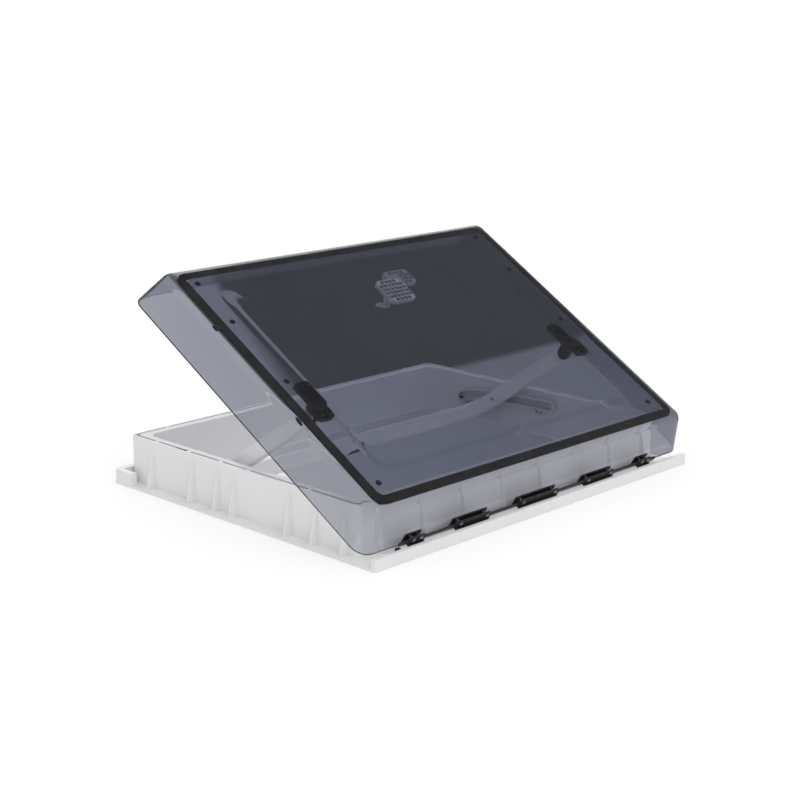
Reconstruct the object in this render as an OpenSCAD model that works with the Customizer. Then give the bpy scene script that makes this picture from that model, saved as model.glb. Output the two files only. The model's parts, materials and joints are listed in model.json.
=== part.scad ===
// Roof vent for a caravan: a white roof frame that stands on the roof around its cut-out,
// and a hinged dome of two tinted acrylic sheets that a U-shaped bow pushes open.
// Millimetres. The origin is the centre of the flange on the roof's surface, +X runs along the
// hinge, +Y from the hinge to the side that opens, +Z up. The dome stands open at open_angle.

/* [Roof frame] */
// Width of the roof flange, along the hinge
flange_w = 800; // [796:1:806]
// Depth of the roof flange, from the hinge side to the opening side
flange_d = 644; // [642:1:650]
// Thickness of the roof flange
flange_t = 3.5; // [3:0.1:3.5]
// Height of the lip along the hinge side
lip_h = 19.5; // [18:0.5:19.5]
// Height of the lip along the opening side
rear_lip_h = 25; // [22:0.5:26]
// Outside width of the upright walls
wall_w = 753; // [750:1:754]
// Place of the front wall's outer face
wall_front = -264; // [-266:0.5:-263]
// Place of the rear wall's outer face
wall_rear = 298; // [296:0.5:298]
// Height of the upright walls above the roof
wall_h = 85.8; // [85:0.1:86.5]
// Thickness of the upright walls
wall_t = 3; // [2.5:0.5:3.5]
// Depth of the stiffening ribs at the foot of a wall
rib_d = 15; // [10:1:16]

/* [Inner liner] */
// Width of the rim, from the wall's outer face to the liner's inner face
rim_w = 20; // [19:0.5:21]
// Width of the rim on the opening side
rim_rear_w = 23; // [22:0.5:24]
// Thickness of the liner
liner_t = 3; // [2.5:0.5:3]
// Width of the groove between the wall and the liner's flange
groove_w = 5.5; // [5:0.5:6]

/* [Hinge] */
// Place of the hinge axis across the frame
hinge_y = -299.5; // [-300:0.1:-299]
// Height of the hinge axis above the roof
hinge_z = 11.5; // [11.5:0.1:12]
// Angle at which the dome stands open
open_angle = 30.8; // [20:0.1:40]
// Radius of the hinge pin
pin_r = 3; // [2.5:0.1:3.2]
// Outer radius of the hinge knuckles
knuckle_r = 7.5; // [7:0.1:7.5]

/* [Dome] */
// Width of the dome at its lower edge
skirt_w = 820.6; // [818:0.1:822]
// Depth of the dome at its lower edge
skirt_d = 625; // [624:0.5:626]
// Width of the dome's flat top
top_w = 776.6; // [774:0.1:778]
// Height of the dome's lower edge above the hinge axis
skirt_v = 7.5; // [7.5:0.1:9]
// Thickness of the outer acrylic sheet
shell_t = 3.5; // [3:0.1:3.6]
// Thickness of the inner acrylic sheet
pane_t = 2.8; // [2.5:0.1:3]
// Width of the inner pane's flat border
border_w = 36; // [34:1:38]
// Width of the seal
seal_w = 14; // [12:1:14]

/* [Bow] */
// Distance from the bow's pivot to the middle of its crossbar
bow_reach = 268.9; // [266:0.1:270]
// Width of the bow's section, seen from the side
bow_b = 30; // [26:1:30]
// Thickness of the bow's section
bow_t = 14; // [12:1:14]
// Radius of the bow's bends, on the middle of the section
bend_r = 45; // [35:1:50]
// Turns of the bow for each turn of the dome
bow_ratio = 2.05; // [2.03:0.01:2.06]
// Distance from the bow's pivot to its guide rollers
guide_y = 215; // [205:1:218]

/* [Hidden] */
$fn = 48;

cut = 1;                                   // how far a cutter runs past a face
running = 0.05;                            // radial clearance of a pin that turns in its bore
snug = 0.3;                                // gap between parts that pass each other

// Upright walls and liner: half widths and the two faces across
wall_x = wall_w / 2;
liner_x = wall_x - rim_w;
rim_front_w = rim_w - 2;                   // the rim is a little narrower on the hinge side
liner_front = wall_front + rim_front_w;
liner_rear = wall_rear - rim_rear_w;
wall_corner_r = 10;
liner_corner_r = 22;
groove_x = wall_x - wall_t - groove_w;     // outer edge of the liner's flange
groove_front = wall_front + wall_t + groove_w - 1;    // the groove narrows with the rim
groove_rear = wall_rear - wall_t - groove_w;
side_rib_y = [-238, -171, -110, 22, 64, 129, 236];
end_rib_pitch = 96.5;
rib_t = 4;
rib_top = 6;                               // a rib ends this far below the wall's top
bridge_y = [-150, -5, 64, 145, 232];       // bridges across the groove, along the sides
bridge_x = [-300, -150, 0, 150, 300];      // and along the ends
bridge_l = 8;
lip_w = 8;
rear_lip_w = 14;
rear_lip_in = 2;                           // the rear lip stands this far in from the flange's edge
side_lip_l = 50;
side_lip_w = 12;
rear_corner_r = 12;
plug_l = 24;                               // black plugs in the groove
plug_y = 168;
plug_h = 8;

// Screw bosses for the clamping frame inside the vehicle
boss_r = 5.5;
boss_h = 45;
pilot_r = 1.6;
pilot_h = 38;
boss_side_y = 170;
boss_side_x = (liner_x + liner_t + wall_x - wall_t) / 2;
boss_end_x = 250;
boss_front_y = (liner_front - liner_t + wall_front + wall_t) / 2;
boss_rear_y = (liner_rear + liner_t + wall_rear - wall_t) / 2;

// Hinge, along X: each row is the middle and the length of a block on the dome
blocks = [[0, 101], [-163.2, 81.5], [163.2, 81.5], [-294, 36], [294, 36]];
knuckles = [[-86.5, 71], [86.5, 71], [-240, 71], [240, 71], [-319, 13], [319, 13]];
pin_l = 654;
pin_cap_t = 3;
pin_cap_r = 5.5;
saddle_h = 15;                             // the knuckles stand on saddles of this height at the lip
jaw_front = -2;                            // the blocks' front face, across the hinge axis
jaw_v = 19;                                // and how far their jaws reach up the skirt
jaw_gap = 0.6;                             // between the skirt's inner face and the rear jaw
jaw_rear_t = 2.6;
block_screw_in = 10;                       // a block's screws sit this far in from its ends
block_screw_v = 15.5;
block_screw_l = 15;
strip_w = 660;
strip_u = 0.4;
strip_v = 8.8;
strip_h = 6.2;

// Dome, drawn shut: u runs back from the hinge axis and v up from it
skirt_u = 3.3;
seal_v = wall_h + snug - hinge_z;          // the seal's lower face, just clear of the rim when shut
seal_t = 3.8;
hair = 0.1;                                // gap between parts that lie against each other
sheet_v = seal_v + seal_t + hair;          // lower face of the outer sheet
top_v = sheet_v + shell_t;
top_front_u = skirt_u + 22.5;
top_rear_u = skirt_u + skirt_d - 28;
skirt_r = 26;
top_r = 12;
seal_x = wall_x + 0.5;
seal_front_u = top_front_u + 9.8;
seal_rear_u = top_rear_u - 10;
seal_mid = (seal_front_u + seal_rear_u) / 2;
seal_d = seal_rear_u - seal_front_u;
pane_x = seal_x - seal_w - 0.5;
pane_d = seal_d - 2 * seal_w - 1;
pane_v = sheet_v - hair - pane_t;
bulge_x = pane_x - border_w;
bulge_d = pane_d - 2 * border_w;
bulge_h = 5.6;                             // how far the inner pane bulges into the vehicle
bulge_v = pane_v - bulge_h;
bulge_r = 30;

// Screws that hold the inner pane up to the outer sheet
pane_screw_x = 344;
pane_screw_u = [76.3, 314, 464, 563.3];
knob_r = 5;
clip_u = 458;                              // small clip at each side of the seal
clip_l = 12;
clip_w = 8;

// Bow: its pivot on the dome, its angle to the dome when shut, and its section along X
pivot_u = 260.3;
pivot_v = 40.6;
bow_shut = -2;
bow_angle = bow_shut - bow_ratio * open_angle;
arm_x = 333;
arm_in = arm_x - bow_t / 2;
arm_out = arm_x + bow_t / 2;
bush_r = 8;
bow_pin_r = 5;
ear_in = 315;
ear_out = 323;
ear_r = 12;
pin_head_r = 9;
bracket_t = 6.4;
bracket_lobes = [[316, 282, 32, 58, 7], [323, 246, 34, 42, 9]];   // middle, size and corner radius
gusset_l = 12;
gusset_t = 4;
bracket_screw_at = [[307, 298], [310, 230], [331, 232]];
bracket_foot_v = bulge_v - bracket_t;
long_screw = 2 * top_v;                    // cuts right through the pane and its fittings

// Guide rails on the liner
full_open = 50;
roller_r = 6;
roller_pin_r = 2.5;
slot_h = roller_r + 1;
rail_h = slot_h + 4;
rail_t = 11;
rail_in = liner_x - rail_t;
slot_depth = 9.3;
rail_over = 11;                            // how far the slot runs past the roller's last place
lug_r = 7;
lug_t = 5.5;
lug_at = [4, 24, 46];                      // dome angles beside which the fixing lugs stand
buffer_r = 2.3;
screw_r = 2;
screw_head_r = 3.6;

// Catch for the crossbar, on the inner pane
catch_x = 62;
catch_u = 507;
catch_v = 54;
catch_rest = -30;                          // turned back, out of the crossbar's way
catch_pin_r = 2.5;
catch_foot_t = 7;
catch_foot_v = bulge_v - catch_foot_t;
catch_lobes = [[44, 471, 60, 58, 10], [80, 500, 60, 40, 9]];   // middle, size and corner radius
catch_screw_at = [[26, 456], [94, 500]];
catch_ear_x = 9.4;                         // the two ears stand this far to each side of the hook
catch_ear_t = 4;
catch_ear_r = 6;
hook_half = 6;
hook_t = 7;
hook_l = 27;
hook_toe_t = 6;
hook_eye_r = 5.5;
crossbar_v = 31.2;                         // middle of the crossbar when the vent is shut

// Lock button in the middle of the crossbar
button_l = 44;
button_t = 8;
button_travel = 3;
button_proud = 2;                          // the button stands out of the crossbar by this much
spring_room = 5;                           // height left for the spring above the button's travel

function dome_point(t, u, v) = [hinge_y + u * cos(t) - v * sin(t), hinge_z + u * sin(t) + v * cos(t)];
function bow_dir(t) = t + bow_shut - bow_ratio * t;
function guide_point(t) = dome_point(t, pivot_u, pivot_v) + guide_y * [cos(bow_dir(t)), sin(bow_dir(t))];
function unit(p) = p / norm(p);
function guide_run(t) = unit(guide_point(t + 0.5) - guide_point(t - 0.5));
function side_of(p) = [-p[1], p[0]];
function half_width(v) = skirt_w / 2 - (skirt_w - top_w) / 2 * (v - skirt_v) / (top_v - skirt_v);
function front_edge(v) = skirt_u + (top_front_u - skirt_u) * (v - skirt_v) / (top_v - skirt_v);
function rear_edge(v) =
    skirt_u + skirt_d - (skirt_u + skirt_d - top_rear_u) * (v - skirt_v) / (top_v - skirt_v);

module rounded(w, d, r) {
    square([w - 2 * r, d], center = true);
    square([w, d - 2 * r], center = true);
    for (x = [-1, 1], y = [-1, 1])
        translate([x * (w / 2 - r), y * (d / 2 - r)]) circle(r);
}

// A rounded rectangle between two places along Y, w wide
module rounded_at(w, y0, y1, r) {
    translate([0, (y0 + y1) / 2]) rounded(w, y1 - y0, r);
}

module both_sides() {
    children();
    mirror([1, 0, 0]) children();
}

module rod(x0, x1, r) {
    translate([x0, 0, 0]) rotate([0, 90, 0]) cylinder(h = x1 - x0, r = r);
}

module dome_pose() {
    translate([0, hinge_y, hinge_z]) rotate([open_angle, 0, 0]) children();
}

module bow_pose() {
    dome_pose() translate([0, pivot_u, pivot_v]) rotate([bow_angle, 0, 0]) children();
}

// Roof frame ---------------------------------------------------------------------------------

module flange_outline() {
    intersection() {
        square([flange_w, flange_d], center = true);
        union() {
            translate([0, -rear_corner_r]) square([flange_w + cut, flange_d], center = true);
            rounded(flange_w, flange_d, rear_corner_r);
        }
    }
}

module rear_lip_outline() {
    lip_y = flange_d / 2 - rear_lip_in;
    intersection() {
        rounded_at(flange_w, 0, lip_y, rear_corner_r);
        union() {
            translate([-flange_w / 2, lip_y - rear_lip_w]) square([flange_w, rear_lip_w]);
            for (x = [-flange_w / 2, flange_w / 2 - side_lip_w])
                translate([x, lip_y - side_lip_l]) square([side_lip_w, side_lip_l]);
        }
    }
}

module rib() {
    rib_h = wall_h - rib_top - flange_t;
    rotate([90, 0, 0]) translate([0, 0, -rib_t / 2])
        linear_extrude(rib_t)
            polygon([[-cut, 0], [rib_d, 0], [0, rib_h], [-cut, rib_h]]);
}

module ribs() {
    for (y = side_rib_y)
        both_sides() translate([wall_x, y, flange_t]) rib();
    for (i = [-3.5:3.5]) {
        translate([i * end_rib_pitch, wall_front, flange_t]) rotate([0, 0, -90]) rib();
        translate([i * end_rib_pitch, wall_rear, flange_t]) rotate([0, 0, 90]) rib();
    }
}

module bosses(r, h) {
    for (x = [-1, 1]) {
        for (y = [-1, 1])
            translate([x * boss_side_x, y * boss_side_y, 0]) cylinder(h = h, r = r);
        for (y = [boss_front_y, boss_rear_y])
            translate([x * boss_end_x, y, 0]) cylinder(h = h, r = r);
    }
}

module frame_knuckles() {
    for (k = knuckles) {
        translate([0, hinge_y, hinge_z]) rod(k[0] - k[1] / 2, k[0] + k[1] / 2, knuckle_r);
        translate([k[0] - k[1] / 2, -flange_d / 2 + lip_w - cut, flange_t - cut])
            cube([k[1], hinge_y + flange_d / 2 - lip_w + cut, saddle_h - flange_t + cut]);
        translate([k[0] - k[1] / 2, hinge_y, flange_t - cut])
            cube([k[1], knuckle_r, hinge_z - flange_t + cut]);
    }
}

module outer_frame() {
    color([0.94, 0.94, 0.95])
    difference() {
        union() {
            linear_extrude(flange_t) flange_outline();
            linear_extrude(wall_h) rounded_at(wall_w, wall_front, wall_rear, wall_corner_r);
            translate([-flange_w / 2, -flange_d / 2, 0]) cube([flange_w, lip_w, lip_h]);
            linear_extrude(rear_lip_h) rear_lip_outline();
            ribs();
            frame_knuckles();
        }
        difference() {
            translate([0, 0, flange_t]) linear_extrude(wall_h)
                rounded_at(2 * (wall_x - wall_t), wall_front + wall_t, wall_rear - wall_t, wall_corner_r - wall_t);
            bosses(boss_r, boss_h);
        }
        translate([0, 0, -cut]) linear_extrude(wall_h)
            rounded_at(2 * liner_x, liner_front, liner_rear, liner_corner_r);
        translate([0, 0, -cut]) bosses(pilot_r, pilot_h + cut);
        translate([0, hinge_y, hinge_z]) rod(-pin_l, pin_l, pin_r);
    }
}

module inner_liner() {
    color([0.86, 0.86, 0.88])
    difference() {
        union() {
            translate([0, 0, flange_t]) linear_extrude(wall_h - flange_t)
                rounded_at(2 * (liner_x + liner_t), liner_front - liner_t, liner_rear + liner_t,
                           liner_corner_r + liner_t);
            translate([0, 0, wall_h - liner_t]) linear_extrude(liner_t)
                rounded_at(2 * groove_x, groove_front, groove_rear, wall_corner_r);
            for (y = bridge_y)
                translate([-wall_x + wall_t, y - bridge_l / 2, wall_h - liner_t])
                    cube([2 * (wall_x - wall_t), bridge_l, liner_t]);
            for (x = bridge_x)
                translate([x - bridge_l / 2, wall_front + wall_t, wall_h - liner_t])
                    cube([bridge_l, wall_rear - wall_front - 2 * wall_t, liner_t]);
        }
        translate([0, 0, -cut]) linear_extrude(wall_h + 2 * cut)
            rounded_at(2 * liner_x, liner_front, liner_rear, liner_corner_r);
        both_sides() lugs(screw_r, liner_x - cut, liner_x + liner_t + cut);
    }
}

// The line that a guide roller follows, widened to a band on each side of it
module guide_band(half, over) {
    steps = [0:2.5:full_open];
    shut = guide_point(0) - over * guide_run(0);
    open = guide_point(full_open) + over * guide_run(full_open);
    line = concat([shut], [for (t = steps) guide_point(t)], [open]);
    runs = concat([guide_run(0)], [for (t = steps) guide_run(t)], [guide_run(full_open)]);
    last = len(line) - 1;
    polygon(concat([for (i = [0:last]) line[i] + half * side_of(runs[i])],
                   [for (i = [last:-1:0]) line[i] - half * side_of(runs[i])]));
}

// Turns an outline in Y and Z into a slab between two places along X
module slab(x0, x1) {
    translate([x0, 0, 0]) rotate([90, 0, 90]) linear_extrude(x1 - x0) children();
}

module lugs(r, x0, x1) {
    for (t = lug_at) {
        p = guide_point(t) + (rail_h + lug_r - 3) * side_of(guide_run(t));
        translate([0, p[0], p[1]]) rod(x0, x1, r);
    }
}

module guide_rail() {
    color([0.82, 0.82, 0.84])
    difference() {
        union() {
            slab(rail_in, liner_x) guide_band(rail_h, rail_over + 4);
            lugs(lug_r, liner_x - lug_t, liner_x);
        }
        slab(rail_in - cut, rail_in + slot_depth) guide_band(slot_h, rail_over);
        lugs(screw_r, rail_in - cut, liner_x + cut);
        lugs(lug_r + 0.4, rail_in - cut, liner_x - lug_t);
    }
}

module guide_rail_left() { mirror([1, 0, 0]) guide_rail(); }
module guide_rail_right() { guide_rail(); }

module guide_rail_screws() {
    head_t = 2.2;
    color([0.7, 0.7, 0.72])
    both_sides() {
        lugs(screw_r, liner_x - lug_t, liner_x + liner_t);
        lugs(screw_head_r, liner_x - lug_t - head_t, liner_x - lug_t);
    }
}

// Rubber stops in the shut end of each rail's slot
module rail_buffers() {
    color([0.08, 0.08, 0.09])
    both_sides() slab(rail_in + 1, rail_in + slot_depth)
        translate(guide_point(0) - (rail_over - buffer_r) * guide_run(0)) circle(buffer_r);
}

module rim_plugs() {
    color([0.05, 0.05, 0.06])
    both_sides() translate([groove_x + groove_w / 2, plug_y, wall_h - plug_h])
        linear_extrude(plug_h) rounded(groove_w, plug_l, groove_w / 2 - 0.05);
}

module hinge_pin() {
    color([0.75, 0.75, 0.77])
    translate([0, hinge_y, hinge_z]) rod(-pin_l / 2, pin_l / 2, pin_r);
}

module hinge_pin_caps() {
    color([0.15, 0.15, 0.16])
    both_sides() translate([0, hinge_y, hinge_z]) rod(pin_l / 2, pin_l / 2 + pin_cap_t, pin_cap_r);
}

// Dome ---------------------------------------------------------------------------------------

// The dome's solid outline, drawn in by inset on every side, between two heights
module dome_solid(v0, v1, inset) {
    hull()
        for (row = [[v0, skirt_r], [v1 - 0.1, top_r]], side = [-1, 1]) {
            v = row[0];
            r = row[1] - inset;
            for (u = [front_edge(v) + inset + r, rear_edge(v) - inset - r])
                translate([side * (half_width(v) - inset - r), u, v]) cylinder(h = 0.1, r = r, $fn = 32);
        }
}

module block_screw_places() {
    for (b = blocks, side = [-1, 1])
        translate([b[0] + side * (b[1] / 2 - block_screw_in), 0, block_screw_v]) rotate([-90, 0, 0]) children();
}

module dome_shell() {
    color([0.30, 0.32, 0.36, 0.55])
    dome_pose() difference() {
        dome_solid(skirt_v, top_v, 0);
        dome_solid(skirt_v - cut, sheet_v, shell_t);
        block_screw_places() cylinder(h = 2 * block_screw_l, r = screw_r);
    }
}

module pane_screw_places() {
    for (x = [-pane_screw_x, pane_screw_x], u = pane_screw_u)
        translate([x, u, 0]) children();
}

module bracket_screw_places() {
    for (p = bracket_screw_at, side = [-1, 1])
        translate([side * p[0], p[1], 0]) children();
}

module catch_screw_places() {
    for (p = catch_screw_at)
        translate([p[0], p[1], 0]) children();
}

module inner_pane() {
    color([0.25, 0.27, 0.31, 0.55])
    dome_pose() difference() {
        translate([0, seal_mid, 0]) {
            translate([0, 0, pane_v]) linear_extrude(pane_t) difference() {
                rounded(2 * pane_x, pane_d, top_r);
                rounded(2 * bulge_x, bulge_d, bulge_r);
            }
            translate([0, 0, bulge_v]) linear_extrude(pane_t + bulge_h) difference() {
                rounded(2 * bulge_x, bulge_d, bulge_r);
                rounded(2 * bulge_x - 2 * pane_t, bulge_d - 2 * pane_t, bulge_r - pane_t);
            }
            translate([0, 0, bulge_v]) linear_extrude(pane_t)
                rounded(2 * bulge_x, bulge_d, bulge_r);
        }
        pane_screw_places() cylinder(h = long_screw, r = screw_r);
        bracket_screw_places() cylinder(h = long_screw, r = screw_r);
        catch_screw_places() cylinder(h = long_screw, r = screw_r);
    }
}

module dome_seal() {
    color([0.06, 0.06, 0.07])
    dome_pose() translate([0, seal_mid, seal_v]) linear_extrude(seal_t) difference() {
        rounded(2 * seal_x, seal_d, top_r + 2);
        rounded(2 * (seal_x - seal_w), seal_d - 2 * seal_w, top_r);
    }
}

module seal_clips() {
    color([0.05, 0.05, 0.06])
    dome_pose() both_sides() translate([seal_x, clip_u - clip_l / 2, seal_v]) cube([clip_w, clip_l, seal_t]);
}

module pane_screws() {
    head_t = 2.2;
    color([0.07, 0.07, 0.08])
    dome_pose() pane_screw_places() {
        translate([0, 0, pane_v - head_t]) cylinder(h = head_t, r = knob_r);
        translate([0, 0, pane_v]) cylinder(h = pane_t, r = screw_r);
    }
}

module hinge_strip() {
    color([0.10, 0.10, 0.11])
    dome_pose() difference() {
        translate([-strip_w / 2, strip_u, strip_v]) cube([strip_w, skirt_u - hair - strip_u, strip_h]);
        for (b = blocks)
            translate([b[0] - b[1] / 2, -cut, 0]) cube([b[1], skirt_u + 2 * cut, strip_v + strip_h + cut]);
    }
}

module hinge_block(b) {
    rear_u = front_edge(jaw_v) + shell_t + jaw_gap;
    color([0.08, 0.08, 0.09])
    dome_pose() difference() {
        union() {
            rod(b[0] - b[1] / 2, b[0] + b[1] / 2, knuckle_r);
            translate([b[0] - b[1] / 2, jaw_front, 0]) cube([b[1], skirt_u - jaw_front - hair, jaw_v]);
            translate([b[0] - b[1] / 2, jaw_front, 0])
                cube([b[1], rear_u + jaw_rear_t - jaw_front, skirt_v - hair]);
            translate([b[0] - b[1] / 2, rear_u, 0]) cube([b[1], jaw_rear_t, jaw_v]);
        }
        rod(-pin_l, pin_l, pin_r + running);
        block_screw_places() translate([0, 0, jaw_front - cut]) cylinder(h = 2 * block_screw_l, r = screw_r);
    }
}

module hinge_block_1() { hinge_block(blocks[0]); }
module hinge_block_2() { hinge_block(blocks[1]); }
module hinge_block_3() { hinge_block(blocks[2]); }
module hinge_block_4() { hinge_block(blocks[3]); }
module hinge_block_5() { hinge_block(blocks[4]); }

module hinge_block_screws() {
    head_t = 1.2;
    color([0.55, 0.55, 0.57])
    dome_pose() block_screw_places() translate([0, 0, jaw_front]) {
        cylinder(h = block_screw_l, r = screw_r);
        translate([0, 0, -head_t]) cylinder(h = head_t, r = screw_head_r);
    }
}

// Bow brackets on the inner pane: an offset two-lobed foot and one ear for the pivot
module bow_bracket() {
    color([0.07, 0.08, 0.09])
    dome_pose() difference() {
        union() {
            translate([0, 0, bracket_foot_v]) linear_extrude(bracket_t)
                for (lobe = bracket_lobes)
                    translate([lobe[0], lobe[1]]) rounded(lobe[2], lobe[3], lobe[4]);
            translate([0, pivot_u, pivot_v]) {
                rod(ear_in, ear_out, ear_r);
                translate([ear_in, -ear_r, 0])
                    cube([ear_out - ear_in, 2 * ear_r, bracket_foot_v - pivot_v + cut]);
            }
            for (u = [-1, 1])
                translate([ear_in - gusset_l / 2, pivot_u + u * (ear_r - gusset_t / 2),
                           bracket_foot_v - gusset_l / 2])
                    cube([gusset_l + 2 * cut, gusset_t, gusset_l + 2 * cut], center = true);
        }
        translate([0, pivot_u, pivot_v]) rod(ear_in - cut, ear_out + cut, bow_pin_r);
        bracket_screw_places() cylinder(h = long_screw, r = screw_r);
    }
}

module bow_bracket_left() { mirror([1, 0, 0]) bow_bracket(); }
module bow_bracket_right() { bow_bracket(); }

module bracket_screws() {
    head_t = 2;
    color([0.6, 0.6, 0.62])
    dome_pose() bracket_screw_places() {
        translate([0, 0, bracket_foot_v - head_t]) cylinder(h = head_t, r = screw_head_r);
        translate([0, 0, bracket_foot_v]) cylinder(h = bracket_t + pane_t, r = screw_r);
    }
}

module bow_pin() {
    head_t = 2.4;
    color([0.12, 0.12, 0.13])
    dome_pose() translate([0, pivot_u, pivot_v]) difference() {
        union() {
            rod(ear_in - 2, arm_out + snug, bow_pin_r);
            rod(arm_out + snug, arm_out + snug + head_t, pin_head_r);
        }
        rod(arm_out + snug + head_t / 2, arm_out + 2 * head_t, bow_pin_r / 2);
    }
}

module bow_pin_left() { mirror([1, 0, 0]) bow_pin(); }
module bow_pin_right() { bow_pin(); }

module bow_washers() {
    color([0.8, 0.8, 0.82])
    dome_pose() both_sides() translate([0, pivot_u, pivot_v]) difference() {
        rod(ear_out, arm_in - snug, pin_head_r);
        rod(ear_out - cut, arm_in + cut, bow_pin_r);
    }
}

// Catch on the inner pane that holds the crossbar up when the vent is shut
module catch_base() {
    color([0.62, 0.63, 0.66])
    dome_pose() difference() {
        union() {
            translate([0, 0, catch_foot_v]) linear_extrude(catch_foot_t)
                for (lobe = catch_lobes)
                    translate([lobe[0], lobe[1]]) rounded(lobe[2], lobe[3], lobe[4]);
            for (side = [-1, 1])
                translate([catch_x + side * catch_ear_x, catch_u, catch_v]) {
                    rod(-catch_ear_t / 2, catch_ear_t / 2, catch_ear_r);
                    translate([-catch_ear_t / 2, -catch_ear_r, 0])
                        cube([catch_ear_t, 2 * catch_ear_r, catch_foot_v - catch_v + cut]);
                }
        }
        translate([0, catch_u, catch_v]) rod(catch_x - 2 * catch_ear_x, catch_x + 2 * catch_ear_x, catch_pin_r);
        catch_screw_places() cylinder(h = long_screw, r = screw_r);
    }
}

module catch_screws() {
    head_t = 2;
    color([0.5, 0.5, 0.52])
    dome_pose() catch_screw_places() {
        translate([0, 0, catch_foot_v - head_t]) cylinder(h = head_t, r = screw_head_r);
        translate([0, 0, catch_foot_v]) cylinder(h = catch_foot_t + pane_t, r = screw_r);
    }
}

module catch_pin() {
    half = catch_ear_x + catch_ear_t / 2 + cut;
    color([0.75, 0.75, 0.77])
    dome_pose() translate([0, catch_u, catch_v]) rod(catch_x - half, catch_x + half, catch_pin_r);
}

module catch_hook() {
    bar_below = 2;
    drop = catch_v - (crossbar_v - bow_b / 2) + bar_below;
    shank_back = 3;
    color([0.68, 0.69, 0.72])
    dome_pose() translate([catch_x, catch_u, catch_v]) rotate([catch_rest, 0, 0]) difference() {
        union() {
            rod(-hook_half, hook_half, hook_eye_r);
            translate([-hook_half, -shank_back, -drop]) cube([2 * hook_half, hook_t, drop]);
            translate([-hook_half, -shank_back, -drop - hook_toe_t]) cube([2 * hook_half, hook_l, hook_toe_t]);
        }
        rod(-hook_half - cut, hook_half + cut, catch_pin_r + running);
    }
}

// Bow ----------------------------------------------------------------------------------------

module bow_bar() {
    straight = bow_reach - bend_r;
    color([0.88, 0.88, 0.90])
    bow_pose() difference() {
        union() {
            both_sides() {
                rod(arm_in, arm_out, bow_b / 2);
                translate([arm_in, 0, -bow_b / 2]) cube([bow_t, straight, bow_b]);
                translate([arm_x - bend_r, straight, 0])
                    rotate_extrude(angle = 90) translate([bend_r - bow_t / 2, -bow_b / 2]) square([bow_t, bow_b]);
            }
            translate([-arm_x + bend_r, bow_reach - bow_t / 2, -bow_b / 2])
                cube([2 * (arm_x - bend_r), bow_t, bow_b]);
        }
        rod(-wall_x, wall_x, bush_r);
        translate([0, guide_y, 0]) rod(-wall_x, wall_x, roller_pin_r);
        button_pocket(snug);
        translate([0, bow_reach, -spring_room + cut]) cube([20, 7, 2 * spring_room], center = true);
    }
}

// The button's place: it enters the crossbar's lower face
module button_pocket(gap) {
    translate([-button_l / 2 - gap, bow_reach - button_t / 2 - gap, -bow_b / 2 - cut])
        cube([button_l + 2 * gap, button_t + 2 * gap, button_travel + spring_room + cut]);
}

module lock_button() {
    plate_t = 2;                           // what stays in the pocket when the button is out
    color([0.20, 0.21, 0.23])
    bow_pose() translate([-button_l / 2, bow_reach - button_t / 2, -bow_b / 2 - button_proud])
        cube([button_l, button_t, button_travel + plate_t + button_proud - snug]);
}

module lock_spring() {
    coil_r = 2.4;
    wire_r = 0.4;
    coil_pitch = 2;
    base = -bow_b / 2 + button_travel + spring_room;
    color([0.75, 0.75, 0.77])
    bow_pose() translate([0, bow_reach, base])
        for (i = [0:3])
            translate([0, 0, wire_r + i * coil_pitch])
                rotate_extrude() translate([coil_r, 0]) circle(wire_r, $fn = 16);
}

module bow_bush() {
    color([0.10, 0.10, 0.11])
    bow_pose() difference() {
        rod(arm_in, arm_out, bush_r);
        rod(arm_in - cut, arm_out + cut, bow_pin_r + running);
    }
}

module bow_bush_left() { mirror([1, 0, 0]) bow_bush(); }
module bow_bush_right() { bow_bush(); }

module roller_pin() {
    color([0.75, 0.75, 0.77])
    bow_pose() translate([0, guide_y, 0]) rod(arm_in, rail_in + slot_depth - 0.6, roller_pin_r);
}

module roller_pin_left() { mirror([1, 0, 0]) roller_pin(); }
module roller_pin_right() { roller_pin(); }

module guide_roller() {
    color([0.93, 0.93, 0.90])
    bow_pose() translate([0, guide_y, 0]) difference() {
        rod(rail_in + 0.6, rail_in + slot_depth - 1.2, roller_r);
        rod(rail_in - cut, liner_x, roller_pin_r + running);
    }
}

module guide_roller_left() { mirror([1, 0, 0]) guide_roller(); }
module guide_roller_right() { guide_roller(); }

outer_frame();
inner_liner();
guide_rail_left();
guide_rail_right();
guide_rail_screws();
rail_buffers();
rim_plugs();
hinge_pin();
hinge_pin_caps();
dome_shell();
inner_pane();
dome_seal();
seal_clips();
hinge_strip();
hinge_block_1();
hinge_block_2();
hinge_block_3();
hinge_block_4();
hinge_block_5();
hinge_block_screws();
pane_screws();
bow_bracket_left();
bow_bracket_right();
bracket_screws();
bow_pin_left();
bow_pin_right();
bow_washers();
catch_base();
catch_screws();
catch_pin();
catch_hook();
bow_bar();
bow_bush_left();
bow_bush_right();
roller_pin_left();
roller_pin_right();
guide_roller_left();
guide_roller_right();
lock_spring();
lock_button();
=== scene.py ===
"""A caravan roof vent: a white moulded frame on the roof and a tinted double acrylic dome that a U-shaped bow
pushes open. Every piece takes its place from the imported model. Lengths are in metres."""
import json
import math

import bmesh
import bpy
from mathutils import Matrix, Vector


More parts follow.
